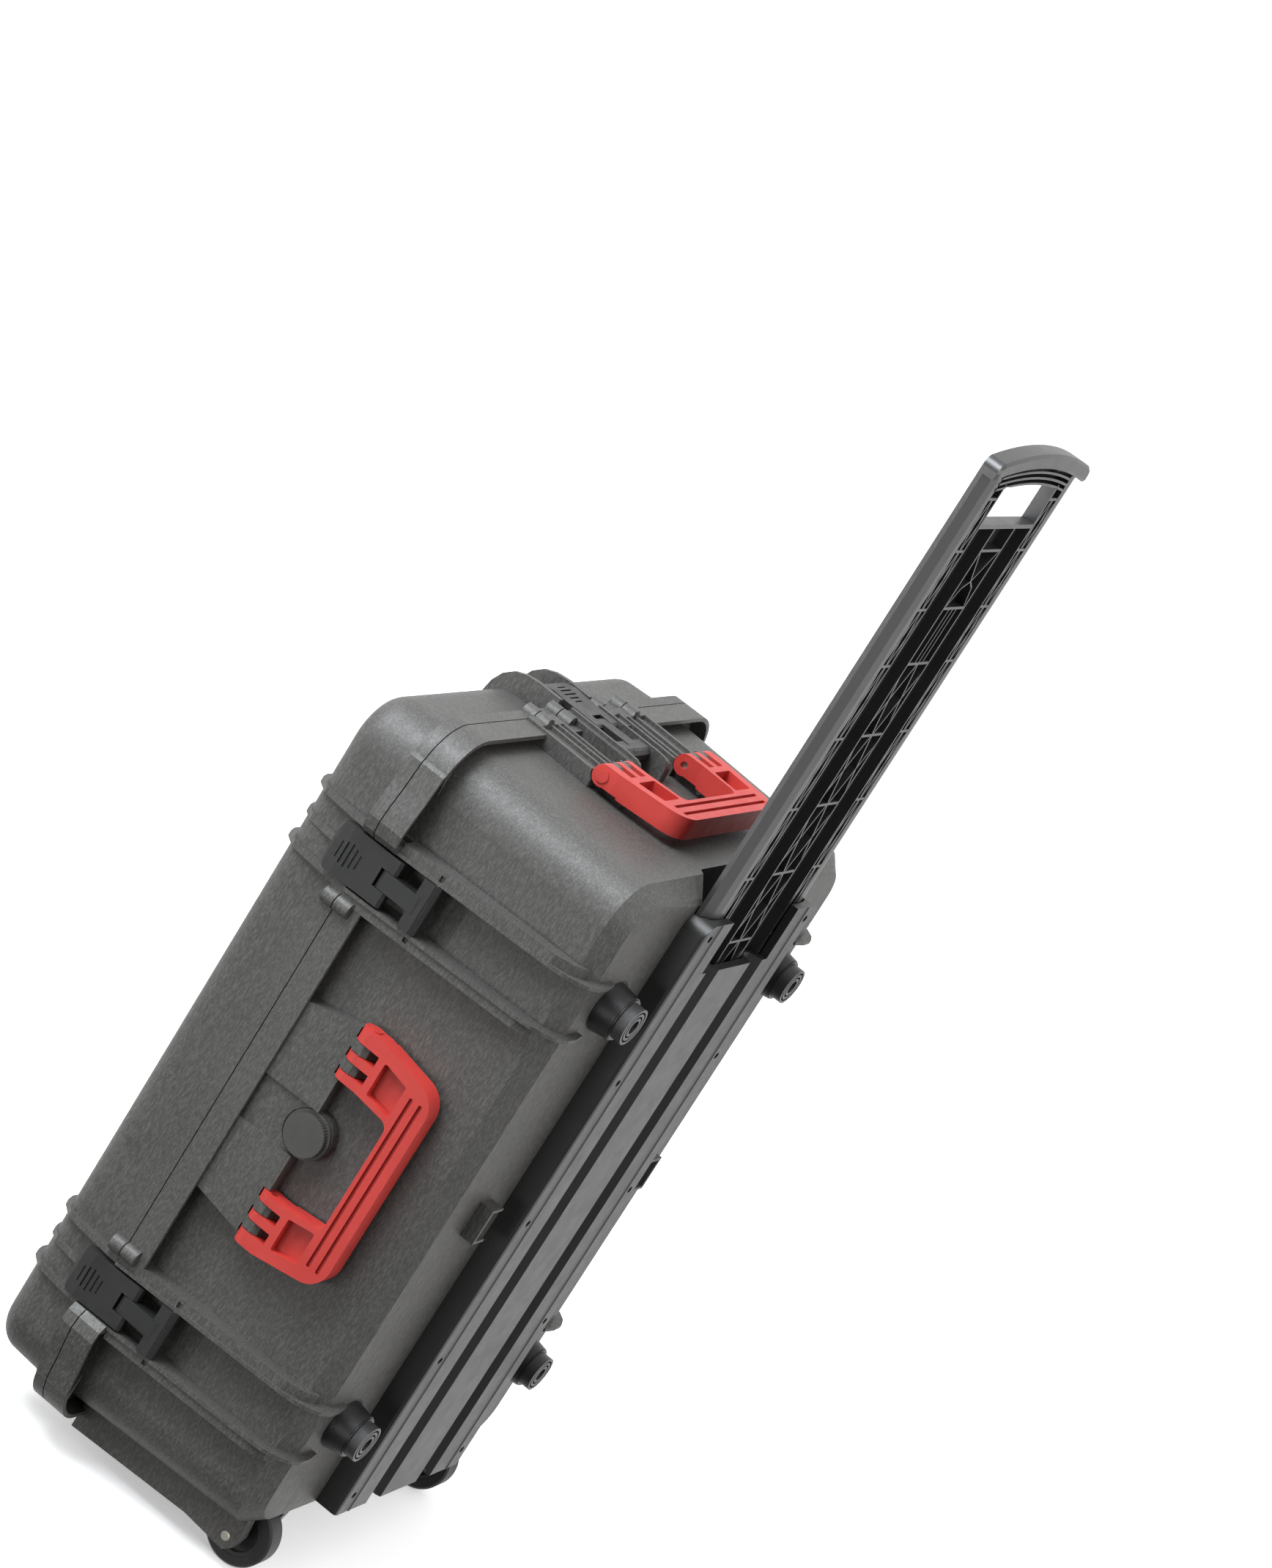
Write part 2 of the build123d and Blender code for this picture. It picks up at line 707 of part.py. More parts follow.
def make_link():
    """T-shaped link: stem pinned to the lever, cross bar pinned to the base ribs."""
    stem = plate_z(
        (
            (-55.4, -240.6),
            (-52.0, -242.4),
            (-20.0, -242.4),
            (-12.0, -240.8),
            (-9.6, -238.0),
            (-9.6, -233.2),
            (-12.0, -232.4),
            (-52.0, -232.4),
            (-55.4, -234.0),
        ),
        -7.6,
        7.6,
    )
    bar = plate_z(
        (
            (-24.0, -242.0),
            (-14.0, -242.0),
            (-9.4, -238.0),
            (-9.4, -233.0),
            (-12.0, -231.6),
            (-24.0, -231.6),
        ),
        -LINK_HALF,
        LINK_HALF,
    )
    link = stem + bar
    link = link - rod_z(LEVER_PIN_X, -LEVER_PIN_OUT, -20, 20, LATCH_PIN_HOLE_R)
    return link - rod_z(LINK_PIN_X, -LINK_PIN_OUT, -25, 25, LATCH_PIN_HOLE_R)


def lever_pin():
    return rod_z(LEVER_PIN_X, -LEVER_PIN_OUT, -13.6, 13.6, LATCH_PIN_R)


def link_pin():
    return rod_z(LINK_PIN_X, -LINK_PIN_OUT, -24.8, 24.8, LATCH_PIN_R)


# ---------------------------------------------------------------- carry handles
def rounded_plan(points, radius, out, depth):
    """XZ outline with rounded corners, extruded outward (-Y) from out by depth."""
    face = make_face(Plane.XZ * Polyline(*points, close=True))
    face = fillet(face.vertices(), radius)
    return Pos(0, -out, 0) * extrude(face, depth, dir=(0, -1, 0))


def make_carry_handle():
    """Folded against the wall: arms run from the pins towards the feet."""
    out = HANDLE_PIVOT_OUT + HANDLE_R
    inn = out - HANDLE_THICK
    root = HANDLE_PIVOT_X - 9.5
    outline = (
        (root, -100.0),
        (14.0, -100.0),
        (HANDLE_GRIP_X1, -89.0),
        (HANDLE_GRIP_X1, 89.0),
        (14.0, 100.0),
        (root, 100.0),
    )
    face = make_face(Plane.XZ * Polyline(*outline, close=True))
    block = Pos(0, -inn, 0) * extrude(face, HANDLE_THICK, dir=(0, -1, 0))
    corners = block.edges().filter_by(Axis.Y).group_by(Axis.X)[-1]
    block = fillet(corners, HANDLE_CORNER_R)
    opening = rounded_plan(
        (
            (HANDLE_PIVOT_X - 20, -54.0),
            (HANDLE_PIVOT_X + 14, -54.0),
            (HANDLE_GRIP_X0, -50.0),
            (HANDLE_GRIP_X0, 50.0),
            (HANDLE_PIVOT_X + 14, 54.0),
            (HANDLE_PIVOT_X - 20, 54.0),
        ),
        8.0,
        inn - 5,
        HANDLE_THICK + 10,
    )
    body = block - opening
    # round the finger ends about the pin
    tips = rod_z(HANDLE_PIVOT_X, -HANDLE_PIVOT_OUT, -100, 100, HANDLE_R)
    tips = tips - rod_z(HANDLE_PIVOT_X, -HANDLE_PIVOT_OUT, -54, 54, HANDLE_R + 1)
    body = body - box(HANDLE_PIVOT_X - 30, HANDLE_PIVOT_X, -260, -200, -120, 120)
    body = body - box(HANDLE_PIVOT_X - 1, 20.0, -inn - 1.6, -inn + 5, -120, 120)
    body = body + tips
    # gaps for the knuckles
    for low, high in KNUCKLES:
        gap = box(HANDLE_PIVOT_X - 12, 18.5, -260, -200, low - 0.5, high + 0.5)
        for piece in both_z(gap):
            body = body - piece
    # hollow in each arm, thumb relief beside it and grooves along the grip
    hollow = rounded_plan(
        ((25.0, 58.5), (49.0, 54.5), (49.0, 83.0), (25.0, 88.0)), 2.0, out - 9.0, 12
    )
    for piece in both_z(hollow):
        body = body - piece
    for x in (55.5, 64.5):
        groove = rounded_plan(
            ((x, -79.0), (x + 3.2, -79.0), (x + 3.2, 79.0), (x, 79.0)), 1.5, out - 3.0, 6
        )
        body = body - groove
    for piece in both_z(rod_z(HANDLE_PIVOT_X, -HANDLE_PIVOT_OUT, 99.5, 101.2, 5.4)):
        body = body + piece
    hole = rod_z(HANDLE_PIVOT_X, -HANDLE_PIVOT_OUT, 50.0, 97.0, HANDLE_PIN_HOLE_R)
    for piece in both_z(hole):
        body = body - piece
    return body


def carry_pins():
    pin = rod_z(HANDLE_PIVOT_X, -HANDLE_PIVOT_OUT, 57.0, 96.5, HANDLE_PIN_R)
    return both_z(pin)


# ---------------------------------------------------------------- trolley
def make_housing():
    section = [
        (121.0, 109.0),
        (137.8, 108.4),
        (140.2, 107.2),
        (HOUSING_X, 105.0),
        (HOUSING_X, 87.2),
        (HOUSING_X + 0.8, 86.0),
        (HOUSING_X, 84.8),
        (HOUSING_X, 56.0),
        (130.5, 50.0),
        (128.6, GROOVE_Y),
        (130.5, 38.0),
        (HOUSING_X, 31.0),
    ]
    tunnel = [
        (120.0, 101.8),
        (126.5, 101.8),
        (132.8, 94.2),
        (134.4, 85.0),
        (134.4, 57.0),
        (128.4, 55.6),
        (127.2, 50.0),
        (127.2, 38.0),
        (128.4, 31.5),
        (134.4, 29.8),
    ]
    outline = section + [(x, -y) for x, y in reversed(section)]
    hollow = tunnel + [(x, -y) for x, y in reversed(tunnel)]
    body = plate_z(outline, HOUSING_Z0, EAR_Z)
    body = body - plate_z(hollow, HOUSING_Z0 + 3.0, EAR_Z + 1)
    # mouth between the ears, with a ramped lip
    body = body - box(110, 150, -64, 64, HOUSING_MOUTH_Z, EAR_Z + 1)
    for sign in (-1, 1):
        corner = box(110, 150, sign * 96, sign * 112, EAR_Z - 12, EAR_Z + 1)
        round_end = rod_x(sign * 96, EAR_Z - 12, 110, 150, 12)
        body = body - (corner - round_end)
        notch = rod_x(sign * GROOVE_Y, HOUSING_Z0 - 3, 124, 150, 11)
        body = body - notch
    for z in HOLE_ZS:
        for y in (-95.0, 95.0):
            body = body - rod_x(y, z, 135.5, 150, 3.0)
    for z in SCREW_ZS:
        for y in (-SCREW_ROW_Y, SCREW_ROW_Y):
            body = body - rod_x(y, z, 118, 128.5, 1.5)
    return body


def housing_screws():
    screws = []
    for z in SCREW_ZS:
        for y in (-SCREW_ROW_Y, SCREW_ROW_Y):
            head = rod_x(y, z, 110.9, CREASE_X - WALL, 3.2)
            shank = rod_x(y, z, CREASE_X - WALL, 128.0, 1.5)
            screws.append(head + shank)
    return screws


LATTICE_ZS = (125.3, 189.8, 254.3, 318.8, 383.2, 447.6, 513.5, 564.0, 616.0)


def rib_bar(y0, z0, y1, z1, width, front=FRONT_X - 0.3):
    """Straight rib standing on the web, up to front."""
    length = math.hypot(y1 - y0, z1 - z0)
    angle = math.degrees(math.atan2(z1 - z0, y1 - y0))
    root = WEB_X - 0.5
    middle = Pos((root + front) / 2, (y0 + y1) / 2, (z0 + z1) / 2)
    return middle * Rot(angle, 0, 0) * Box(front - root, length, width)


def cross_bar(y0, y1, z):
    return rib_bar(y0, z, y1, z, 2.4, FRONT_X - 0.1)


def lattice(y0, y1, zs, stagger):
    """Cross bars with two slender Vs in each cell."""
    ribs = []
    middle = (y0 + y1) / 2
    for z in zs:
        ribs.append(cross_bar(y0, y1, z))
    for low, high in zip(zs[:-1], zs[1:]):
        for edge, apex in ((y0, middle - 0.6), (y1, middle + 0.6)):
            ribs.append(rib_bar(apex, low, edge, high - stagger, 1.9))
            ribs.append(rib_bar(apex, high, edge, low + stagger, 1.9))
    return ribs


def bow_arc(half, drop):
    """Arc across the grip, drop below its upper line."""
    end_z = TROLLEY_TOP - drop - GRIP_BOW * (half / HANDLE_HALF) ** 2
    middle_z = TROLLEY_TOP - drop
    return ThreePointArc((-half, end_z), (0, middle_z), (half, end_z))


def bowed_band(drop, depth, half, front_x):
    """Bowed plate from the back of the handle to front_x."""
    top = bow_arc(half, drop)
    low = bow_arc(half, drop + depth)
    sides = Line(top @ 0, low @ 0) + Line(top @ 1, low @ 1)
    face = make_face(Plane.YZ * (top + low + sides))
    return Pos(BACK_X, 0, 0) * extrude(face, front_x - BACK_X, dir=(1, 0, 0))


def make_grip():
    """Bowed grip whose ends turn down into the side beams."""
    band = bowed_band(0, GRIP_DEPTH, HANDLE_HALF, GRIP_NOSE_X)
    outer = band.edges().filter_by(Axis.X).sort_by(Axis.Z)[-2:]
    band = fillet(outer, GRIP_CORNER_R)
    rims = [e for e in band.faces().sort_by(Axis.X)[-1].edges() if e.length < 220]
    band = chamfer(rims, 2.2)
    return band


def make_trolley():
    zs = LATTICE_ZS
    web = box(BACK_X, WEB_X, -HANDLE_HALF + 2, HANDLE_HALF - 2, TROLLEY_Z0, GRIP_Z0 + 8)
    opening = box(BACK_X - 2, FRONT_X + 5, -58.0, 58.0, OPENING_Z0 + 2.4, GRIP_Z0)
    beam = (
        (BACK_X, 75.5),
        (FRONT_X, 75.5),
        (FRONT_X, 83.0),
        (131.6, 92.2),
        (126.2, HANDLE_HALF),
        (BACK_X, HANDLE_HALF),
    )
    solids = [web]
    solids += both_y(plate_z(beam, TROLLEY_Z0, TROLLEY_TOP - GRIP_BOW - GRIP_CORNER_R))
    for y in (22.0, 58.9):
        wall = box(BACK_X, FRONT_X, y - 1.1, y + 1.1, TROLLEY_Z0, OPENING_Z0)
        solids += both_y(wall)
    side = box(BACK_X, FRONT_X, 58.0, 60.2, OPENING_Z0, GRIP_Z0 + 2)
    solids += both_y(side)
    centre_zs = [z for z in zs if z < 520]
    solids += lattice(-21.5, 21.5, centre_zs, 10.0)
    solids.append(cross_bar(-21.5, 21.5, 564.0))
    solids.append(cross_bar(-21.5, 21.5, 616.0))
    for y in (-8.0, 0.0, 8.0):
        solids.append(rib_bar(y, 513.5, y, 564.0, 1.5))
    for sign in (-1, 1):
        solids.append(rib_bar(sign * 21, 564.0, sign * 11, 582.0, 1.5))
        solids.append(rib_bar(sign * 11, 582.0, 0, 588.0, 1.5))
        solids.append(rib_bar(0, 588.0, sign * 20, 615.0, 1.5))
    strip = lattice(59.5, 75.6, list(zs) + [662.0], 4.0)
    for rib in strip:
        solids += both_y(rib)
    plate = box(BACK_X, FRONT_X, -59.5, 59.5, OPENING_Z0 - 1.2, OPENING_Z0 + 2.4)
    solids.append(plate)
    solids.append(make_grip())
    solids.append(box(BACK_X, WEB_X + 1, -62, 62, GRIP_Z0, GRIP_Z0 + 14))
    for drop in (16.0, 21.0, 26.0):
        solids.append(bowed_band(drop, 2.0, 76.0, FRONT_X + 0.6))
    body = fuse(solids)
    return body - opening


# ---------------------------------------------------------------- rolling gear and feet
def make_wheels():
    tyres, hubs, bushes, axles = [], [], [], []
    for sign in (-1, 1):
        y0, y1 = sorted((sign * WHEEL_Y[0], sign * WHEEL_Y[1]))
        ring = rod_y(WHEEL_X, WHEEL_Z, y0, y1, WHEEL_R)
        ring = chamfer(ring.edges(), 1.6)
        bore = rod_y(WHEEL_X, WHEEL_Z, y0 - 1, y1 + 1, 21.0)
        tyres.append(ring - bore)
        hub = rod_y(WHEEL_X, WHEEL_Z, y0 + 0.6, y1 - 0.6, 21.0)
        dish = rod_y(WHEEL_X, WHEEL_Z, y0 - 1, y0 + 6, 17.5) - rod_y(
            WHEEL_X, WHEEL_Z, y0 - 1, y0 + 6, 8.5
        )
        far_dish = Pos(0, y1 - y0 - 5, 0) * dish
        hub = hub - dish - far_dish
        hubs.append(hub - rod_y(WHEEL_X, WHEEL_Z, y0 - 1, y1 + 1, AXLE_BORE_R))
        inner_gap = (CHEEK_IN[1], WHEEL_Y[0])
        outer_gap = (WHEEL_Y[1], CHEEK_OUT[0])
        for low, high in (inner_gap, outer_gap):
            a, b = sorted((sign * (low + 0.05), sign * (high - 0.1)))
            bush = rod_y(WHEEL_X, WHEEL_Z, a, b, 7.0)
            bushes.append(bush - rod_y(WHEEL_X, WHEEL_Z, a - 1, b + 1, AXLE_R))
        a, b = sorted((sign * (CHEEK_IN[0] - 4), sign * (CHEEK_OUT[1] + 0.6)))
        axle = rod_y(WHEEL_X, WHEEL_Z, a, b, AXLE_R)
        axles.append(chamfer(axle.edges(), 0.6))
    return tyres, hubs, bushes, axles


def make_feet():
    pads, screws = [], []
    for y in (-FOOT_Y, FOOT_Y):
        for z in (-FOOT_Z, FOOT_Z):
            seat = FOOT_X - FOOT_PAD_H + FOOT_WEB
            pad = rod_x(y, z, FOOT_X - FOOT_PAD_H, FOOT_X, FOOT_R)
            for radius in (13.7, 9.8):
                ring = rod_x(y, z, FOOT_X - 2.6, FOOT_X + 1, radius)
                pad = pad - (ring - rod_x(y, z, FOOT_X - 3, FOOT_X + 2, radius - 1.5))
            pad = pad - rod_x(y, z, seat, FOOT_X + 1, 6.0)
            pad = pad - rod_x(y, z, seat - FOOT_WEB - 1, seat + 1, 1.85)
            pads.append(pad)
            head = rod_x(y, z, seat, seat + 2.6, 3.5)
            shank = rod_x(y, z, 120.0, seat, 1.75)
            screws.append(head + shank)
    return pads, screws


# ---------------------------------------------------------------- valve
def make_valve():
    """Pressure valve: drawn with its axis along Y at the pad edge."""
    def disc(out0, out1, radius):
        return rod_y(VALVE_X, 0, -out0, -out1, radius)

    seat = disc(228.0, 231.4, 20.0) + disc(205.0, 228.5, 7.0)
    seat = seat - disc(200.0, 232.0, 2.0)
    knob = disc(231.5, 236.2, 17.6) + disc(212.0, 231.6, 1.94)
    teeth = 48
    for index in range(teeth):
        angle = 2 * math.pi * index / teeth
        x = VALVE_X + 17.9 * math.cos(angle)
        z = 17.9 * math.sin(angle)
        knob = knob - rod_y(x, z, -230, -240, 0.75)
    nut = disc(206.0, 211.0, 11.0) - disc(200.0, 215.0, 7.0)
    ring = disc(226.2, 228.0, 9.5) - disc(220.0, 230.0, 7.0)
    return seat, knob, nut, ring


# ---------------------------------------------------------------- assembly
def main():
    save(make_base(), "base_shell")
    save(make_lid(), "lid_shell")
    save(make_gasket(), "lid_gasket")

    lever, link = make_lever(), make_link()
    pins = {"lever_pin": lever_pin(), "link_pin": link_pin()}
    places = {
        "upper": lambda part: Pos(0, 0, RIB_Z) * part,
        "lower": lambda part: Pos(0, 0, -RIB_Z) * part,
        "end": lambda part: to_end(Pos(-6, 0, 0) * part, END_SHIFT),
    }
    for place, put in places.items():
        save(put(lever), "latch_lever_" + place)
        save(put(link), "latch_link_" + place)
        for name, pin in pins.items():
            save(put(pin), name + "_" + place)

    handle = make_carry_handle()
    save(handle, "front_handle")
    save(carry_pins(), "front_handle_pins")
    shift = 323.0 - HANDLE_PIVOT_OUT
    save(to_end(handle, shift), "end_handle")
    save([to_end(p, shift) for p in carry_pins()], "end_handle_pins")

    hinge_pins = [
        rod_z(SEAM_X, HINGE_Y, m - 18.8, m + 18.8, HINGE_PIN_R) for m in (-RIB_Z, RIB_Z)
    ]
    save(hinge_pins, "hinge_pins")

    save(make_housing(), "trolley_housing")
    save(housing_screws(), "housing_screws")
    save(make_trolley(), "trolley_handle")

    tyres, hubs, bushes, axles = make_wheels()
    for index, side in enumerate(("front", "rear")):
        save(tyres[index], "tyre_" + side)
        save(hubs[index], "hub_" + side)
        save(axles[index], "axle_" + side)
    save(bushes, "axle_bushes")

    pads, foot_screws = make_feet()
    save(pads, "foot_pads")
    save(foot_screws, "foot_screws")

    seat, knob, nut, ring = make_valve()
    save(seat, "valve_body")
    save(knob, "valve_knob")
    save(nut, "valve_nut")
    save(ring, "valve_seal")


main()
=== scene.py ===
import json
import math

import bpy
from mathutils import Matrix, Vector


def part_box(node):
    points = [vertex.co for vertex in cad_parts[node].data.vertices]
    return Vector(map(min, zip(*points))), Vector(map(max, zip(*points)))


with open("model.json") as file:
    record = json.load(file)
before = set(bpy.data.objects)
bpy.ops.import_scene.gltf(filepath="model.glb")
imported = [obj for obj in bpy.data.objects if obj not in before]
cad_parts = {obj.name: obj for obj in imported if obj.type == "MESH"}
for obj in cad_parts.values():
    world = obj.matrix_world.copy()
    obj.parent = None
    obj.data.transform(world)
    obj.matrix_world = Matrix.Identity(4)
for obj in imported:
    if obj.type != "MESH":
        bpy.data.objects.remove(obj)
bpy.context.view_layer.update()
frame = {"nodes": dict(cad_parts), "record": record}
record = frame["record"]

# Everything is in metres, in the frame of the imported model.
MM = 0.001

# The bosses that carry the feet are given painted shade, a darker colour than the rest of the
# shell, and a smoother gloss.
FOOT_RADIUS = 0.016
BOSS_RADIUS = 0.0238
BOSS_HEIGHT = 0.035
BOSS_PAINTED_SHADE = (0.011, 0.011, 0.012)
BOSS_GLOSS = (0.34, 0.34, 0.34)

# Where a noise value counts as fully dark or fully light.
NOISE_LOW = 0.3
NOISE_HIGH = 0.7

# The shell's pale scuffs: their direction, their stretch along it and how much paler they are.
SCUFF_TURN = math.radians(35)
SCUFF_STRETCH = (1.0, 1.0, 0.3)
SCUFF_FROM, SCUFF_TO = 0.44, 0.7
SCUFF_GAIN = 2.0

PLASTIC_GRAIN_DEPTH = 0.4 * MM
SHELL_COARSE_DEPTH = 0.5 * MM
SHELL_FINE_DEPTH = 0.2 * MM

EDGE_WIDTH = 0.7 * MM
EDGE_SEGMENTS = 2
EDGE_ANGLE = 40
EDGE_ANGLE_OF = {"trolley_handle": 60}

FLOOR_SIZE = 60
FLOOR_TONE = (0.95, 0.95, 0.95, 1)
FLOOR_ROUGHNESS = 0.9
FLOOR_GLOW = 0.35

# The world is white, and falls to grey where the latches' side looks.
DARK_SIDE = (0.1, -0.9, -0.35)
DARK_TONE = (0.16, 0.16, 0.16)
DARK_FROM, DARK_TO = -0.25, 0.85
WORLD_STRENGTH = 1.12

# The photograph's camera, solved from the shell's corners, the feet and the trolley.
CAMERA_PLACE = (1.0689, -3.2249, 1.6401)
CAMERA_RIGHT = (0.75574479, 0.4115371, 0.50939869)
CAMERA_UP = (-0.58042811, 0.06075369, 0.81204199)
CAMERA_BACK = (0.30323756, -0.90936583, 0.28478199)
CAMERA_SENSOR = 36
CAMERA_LENS = 104.87
CAMERA_SHIFT = (0.0111, 0.01605)


def material(name):
    """A new material, its node tree and its shader."""
    mat = bpy.data.materials.new(name)
    mat.use_nodes = True
    return mat, mat.node_tree, mat.node_tree.nodes["Principled BSDF"]


def coords(tree):
    """Object coordinates: metres, and the same for every part."""
    return tree.nodes.new("ShaderNodeTexCoord").outputs["Object"]


def noise(tree, where, scale, detail=3.0, rough=0.55):
    made = tree.nodes.new("ShaderNodeTexNoise")
    made.inputs["Scale"].default_value = scale
    made.inputs["Detail"].default_value = detail
    made.inputs["Roughness"].default_value = rough
    tree.links.new(where, made.inputs["Vector"])
    return made.outputs["Fac"]


def ramp(tree, value, stops):
    """Colour ramp through (place, colour) stops."""
    made = tree.nodes.new("ShaderNodeValToRGB")
    ends = made.color_ramp.elements
    while len(ends) < len(stops):
        ends.new(0.5)
    for end, (place, colour) in zip(ends, stops):
        end.position = place
        end.color = (*colour, 1.0)
    tree.links.new(value, made.inputs["Fac"])
    return made.outputs["Color"]


def bump(tree, bsdf, height, strength, distance, after=None):
    """Bump on the shader's normal, on top of an earlier bump if one is given."""
    made = tree.nodes.new("ShaderNodeBump")
    made.inputs["Strength"].default_value = strength
    made.inputs["Distance"].default_value = distance
    tree.links.new(height, made.inputs["Height"])
    if after is not None:
        tree.links.new(after, made.inputs["Normal"])
    tree.links.new(made.outputs["Normal"], bsdf.inputs["Normal"])
    return made.outputs["Normal"]


def gloss_range(tree, value, rough):
    """Roughness from a noise value, between the two ends of rough."""
    low, high = rough
    return ramp(tree, value, [(NOISE_LOW, (low,) * 3), (NOISE_HIGH, (high,) * 3)])


def plastic(name, dark, light, rough, grain, grain_mm, spec):
    """Moulded plastic: cloudy tone, uneven gloss and a moulded grain."""
    mat, tree, bsdf = material(name)
    where = coords(tree)
    tone = noise(tree, where, 22.0, 4.0)
    base = ramp(tree, tone, [(NOISE_LOW, dark), (NOISE_HIGH, light)])
    tree.links.new(base, bsdf.inputs["Base Color"])
    gloss = noise(tree, where, 60.0, 3.0)
    tree.links.new(gloss_range(tree, gloss, rough), bsdf.inputs["Roughness"])
    pits = noise(tree, where, 1.0 / (grain_mm * MM), 2.0)
    bump(tree, bsdf, pits, grain, PLASTIC_GRAIN_DEPTH)
    bsdf.inputs["Specular IOR Level"].default_value = spec
    return mat


def math_node(tree, operation, first, second):
    """Math on two values, each a number or a socket."""
    made = tree.nodes.new("ShaderNodeMath")
    made.operation = operation
    for socket, value in zip(made.inputs, (first, second)):
        if isinstance(value, float):
            socket.default_value = value
        else:
            tree.links.new(value, socket)
    return made.outputs["Value"]


def vector_node(tree, operation, first, second=None):
    """Vector math on a socket and, where it takes two, a fixed vector."""
    made = tree.nodes.new("ShaderNodeVectorMath")
    made.operation = operation
    tree.links.new(first, made.inputs[0])
    if second is not None:
        made.inputs[1].default_value = second
    return made


def boss_shade_and_gloss_mask(tree, where):
    """1 on the four bosses that carry the feet, where shade is painted, 0 elsewhere."""
    low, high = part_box("foot_pads")
    middle = [(a + b) / 2 for a, b in zip(low, high)]
    reach = [(b - a) / 2 - FOOT_RADIUS for a, b in zip(low, high)]
    local = vector_node(tree, "SUBTRACT", where, (0.0, middle[1], middle[2]))
    folded = vector_node(tree, "ABSOLUTE", local.outputs["Vector"])
    place = (0.0, reach[1], reach[2])
    offset = vector_node(tree, "SUBTRACT", folded.outputs["Vector"], place)
    across = vector_node(tree, "MULTIPLY", offset.outputs["Vector"], (0.0, 1.0, 1.0))
    radius = vector_node(tree, "LENGTH", across.outputs["Vector"]).outputs["Value"]
    split = tree.nodes.new("ShaderNodeSeparateXYZ")
    tree.links.new(where, split.inputs["Vector"])
    near = math_node(tree, "LESS_THAN", radius, BOSS_RADIUS)
    root = high[0] - BOSS_HEIGHT
    outside = math_node(tree, "GREATER_THAN", split.outputs["X"], root)
    return math_node(tree, "MULTIPLY", near, outside)


def blend(tree, factor, first, second):
    """Colour mix of a socket with a fixed colour."""
    mix = tree.nodes.new("ShaderNodeMix")
    mix.data_type = "RGBA"
    tree.links.new(factor, mix.inputs["Factor"])
    tree.links.new(first, mix.inputs["A"])
    mix.inputs["B"].default_value = (*second, 1.0)
    return mix.outputs["Result"]


def shell_plastic(name, dark, light, rough):
    """Grained polypropylene: mottled tone, pale scuffs in one direction, a fine grain, painted
    shade on the foot bosses.
    """
    mat, tree, bsdf = material(name)
    where = coords(tree)
    cloud = noise(tree, where, 14.0, 5.0, 0.6)
    base = ramp(tree, cloud, [(NOISE_LOW, dark), (NOISE_HIGH, light)])
    stretch = tree.nodes.new("ShaderNodeMapping")
    stretch.inputs["Rotation"].default_value = (0.0, SCUFF_TURN, 0.0)
    stretch.inputs["Scale"].default_value = SCUFF_STRETCH
    tree.links.new(where, stretch.inputs["Vector"])
    streak = noise(tree, stretch.outputs["Vector"], 650.0, 5.0, 0.75)
    scuff = ramp(tree, streak, [(SCUFF_FROM, (0, 0, 0)), (SCUFF_TO, (1, 1, 1))])
    worn = blend(tree, scuff, base, [SCUFF_GAIN * v for v in light])
    # On the four foot bosses the colour is painted shade and the gloss is smoother.
    feet = boss_shade_and_gloss_mask(tree, where)
    tree.links.new(blend(tree, feet, worn, BOSS_PAINTED_SHADE), bsdf.inputs["Base Color"])
    gloss = noise(tree, stretch.outputs["Vector"], 260.0, 4.0, 0.65)
    shade = gloss_range(tree, gloss, rough)
    tree.links.new(blend(tree, feet, shade, BOSS_GLOSS), bsdf.inputs["Roughness"])
    coarse = noise(tree, where, 900.0, 3.0, 0.6)
    fine = noise(tree, where, 2600.0, 2.0)
    under = bump(tree, bsdf, coarse, 0.35, SHELL_COARSE_DEPTH)
    bump(tree, bsdf, fine, 0.5, SHELL_FINE_DEPTH, under)
    return mat


# name: dark tone, light tone, roughness from and to, grain strength, grain in mm, specular level
PLASTICS = {
    "housing": ((0.016, 0.016, 0.016), (0.021, 0.021, 0.02), (0.3, 0.4), 0.4, 0.35, 0.6),
    "trolley": ((0.012, 0.012, 0.0125), (0.016, 0.016, 0.017), (0.36, 0.41), 0.12, 0.15, 0.95),
    "red_grip": ((0.42, 0.027, 0.021), (0.49, 0.037, 0.029), (0.38, 0.5), 0.5, 0.25, 0.5),
    "latch": ((0.012, 0.012, 0.012), (0.018, 0.018, 0.018), (0.3, 0.42), 0.6, 0.3, 0.5),
    "gasket": ((0.01, 0.01, 0.01), (0.015, 0.015, 0.015), (0.7, 0.8), 0.3, 0.5, 0.5),
    "tyre": ((0.012, 0.012, 0.012), (0.018, 0.018, 0.018), (0.42, 0.55), 0.6, 0.4, 0.5),
    "hub": ((0.018, 0.018, 0.018), (0.024, 0.024, 0.024), (0.34, 0.46), 0.5, 0.3, 0.5),
    "foot": ((0.02, 0.02, 0.02), (0.03, 0.03, 0.03), (0.3, 0.42), 0.5, 0.3, 0.8),
    "valve": ((0.042, 0.041, 0.039), (0.055, 0.054, 0.051), (0.34, 0.46), 0.5, 0.3, 0.5),
    "steel": ((0.6, 0.57, 0.5), (0.7, 0.67, 0.6), (0.26, 0.4), 0.3, 0.2, 0.5),
}


def make_materials():
    """One material for each slot of the record."""
    shell = shell_plastic("shell", (0.04, 0.0392, 0.0365), (0.055, 0.0537, 0.0502), (0.4, 0.56))
    made = {"shell": shell}
    for name, values in PLASTICS.items():
        made[name] = plastic(name, *values)
    made["steel"].node_tree.nodes["Principled BSDF"].inputs["Metallic"].default_value = 1.0
    return made


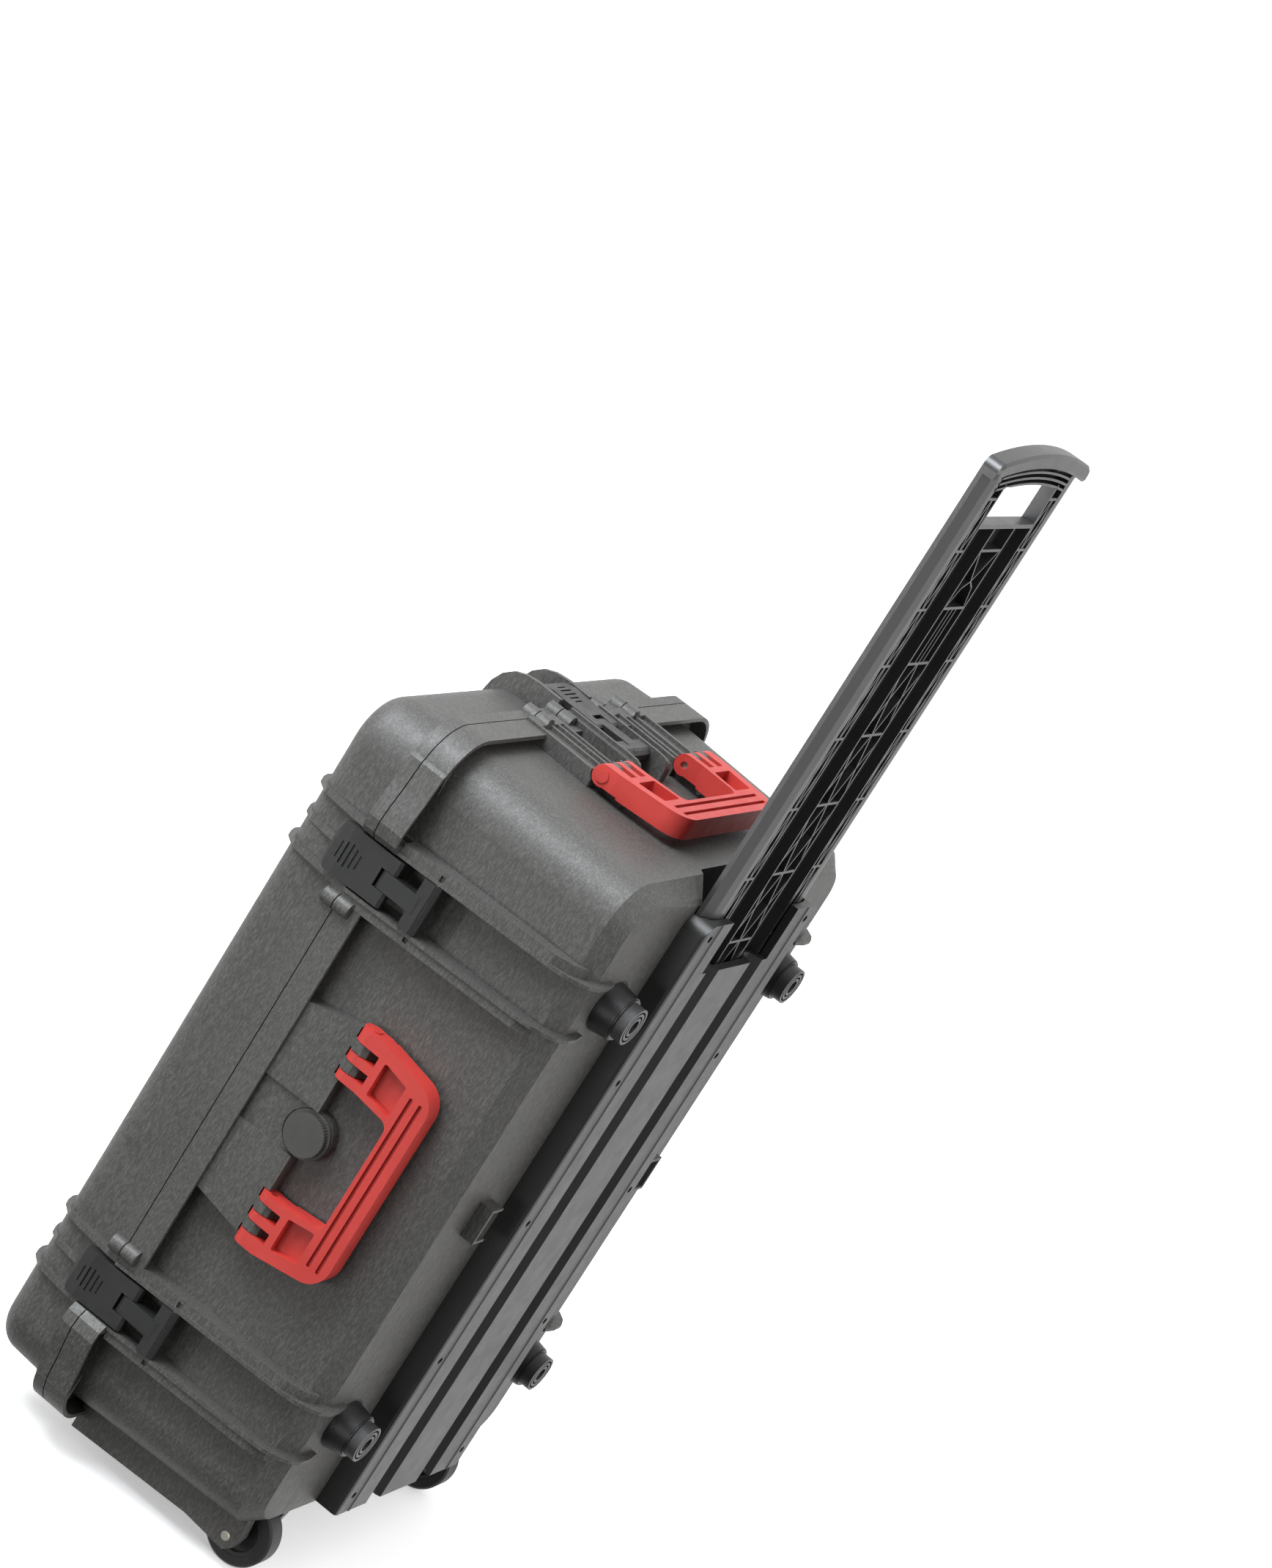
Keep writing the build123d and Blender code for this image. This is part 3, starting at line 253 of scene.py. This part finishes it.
def dress_cad(materials):
    """Give every CAD node its slot's material and a soft edge."""
    slot_of = {part["node"]: part["material_slot"] for part in record["subparts"]}
    for name in frame["nodes"]:
        obj = bpy.data.objects[name]
        obj.data.materials.clear()
        obj.data.materials.append(materials[slot_of[name]])
        bevel = obj.modifiers.new("soft edges", "BEVEL")
        bevel.width = EDGE_WIDTH
        bevel.segments = EDGE_SEGMENTS
        bevel.limit_method = "ANGLE"
        bevel.angle_limit = math.radians(EDGE_ANGLE_OF.get(name, EDGE_ANGLE))
        bevel.harden_normals = False


def floor():
    """Pale floor that the lights see, but that neither tints nor mirrors in the object."""
    bpy.ops.mesh.primitive_plane_add(size=FLOOR_SIZE)
    plane = bpy.context.object
    plane.name = "floor"
    mat, _, bsdf = material("floor")
    bsdf.inputs["Base Color"].default_value = FLOOR_TONE
    bsdf.inputs["Roughness"].default_value = FLOOR_ROUGHNESS
    bsdf.inputs["Emission Color"].default_value = (1, 1, 1, 1)
    bsdf.inputs["Emission Strength"].default_value = FLOOR_GLOW
    plane.data.materials.append(mat)
    plane.visible_diffuse = False
    plane.visible_glossy = False


def area(name, place, target, size, power, colour=(1, 1, 1)):
    """Rectangular light that looks at a target; size in metres, power in watts."""
    data = bpy.data.lights.new(name, "AREA")
    data.shape = "RECTANGLE"
    data.size, data.size_y = size
    data.energy = power
    data.color = colour
    obj = bpy.data.objects.new(name, data)
    bpy.context.collection.objects.link(obj)
    obj.location = place
    aim = Vector(target) - Vector(place)
    obj.rotation_euler = aim.to_track_quat("-Z", "Y").to_euler()


def studio():
    """World light, and plain colours with no film look."""
    world = bpy.data.worlds.new("studio")
    bpy.context.scene.world = world
    world.use_nodes = True
    tree = world.node_tree
    where = tree.nodes.new("ShaderNodeTexCoord").outputs["Generated"]
    dot = tree.nodes.new("ShaderNodeVectorMath")
    dot.operation = "DOT_PRODUCT"
    dot.inputs[1].default_value = Vector(DARK_SIDE).normalized()
    tree.links.new(where, dot.inputs[0])
    spread = tree.nodes.new("ShaderNodeMapRange")
    spread.inputs["From Min"].default_value = DARK_FROM
    spread.inputs["From Max"].default_value = DARK_TO
    spread.interpolation_type = "SMOOTHSTEP"
    tree.links.new(dot.outputs["Value"], spread.inputs["Value"])
    colour = ramp(tree, spread.outputs["Result"], [(0.0, (1, 1, 1)), (1.0, DARK_TONE)])
    background = tree.nodes["Background"]
    tree.links.new(colour, background.inputs["Color"])
    background.inputs["Strength"].default_value = WORLD_STRENGTH
    scene = bpy.context.scene
    scene.view_settings.view_transform = "Standard"
    scene.view_settings.look = "None"


def camera():
    """The camera at the photograph's viewing angle."""
    data = bpy.data.cameras.new("camera")
    cam = bpy.data.objects.new("camera", data)
    bpy.context.collection.objects.link(cam)
    turn = Matrix((CAMERA_RIGHT, CAMERA_UP, CAMERA_BACK)).transposed().to_4x4()
    cam.matrix_world = Matrix.Translation(CAMERA_PLACE) @ turn
    data.sensor_width = CAMERA_SENSOR
    data.lens = CAMERA_LENS
    data.shift_x, data.shift_y = CAMERA_SHIFT
    bpy.context.scene.camera = cam


dress_cad(make_materials())
floor()
studio()
area("top", (-1.2, -1.5, 3.0), (0, 0, 0.5), (1.8, 1.8), 155, (0.9, 0.95, 1.0))
area("front", (-0.7, -3.2, 0.3), (0, 0, 0.4), (1.6, 0.5), 26)
area("left", (-2.4, -2.0, 0.9), (0, 0, 0.4), (0.5, 2.4), 22)
area("right", (2.6, -0.9, 1.6), (0, 0, 0.5), (0.6, 2.0), 24)
camera()
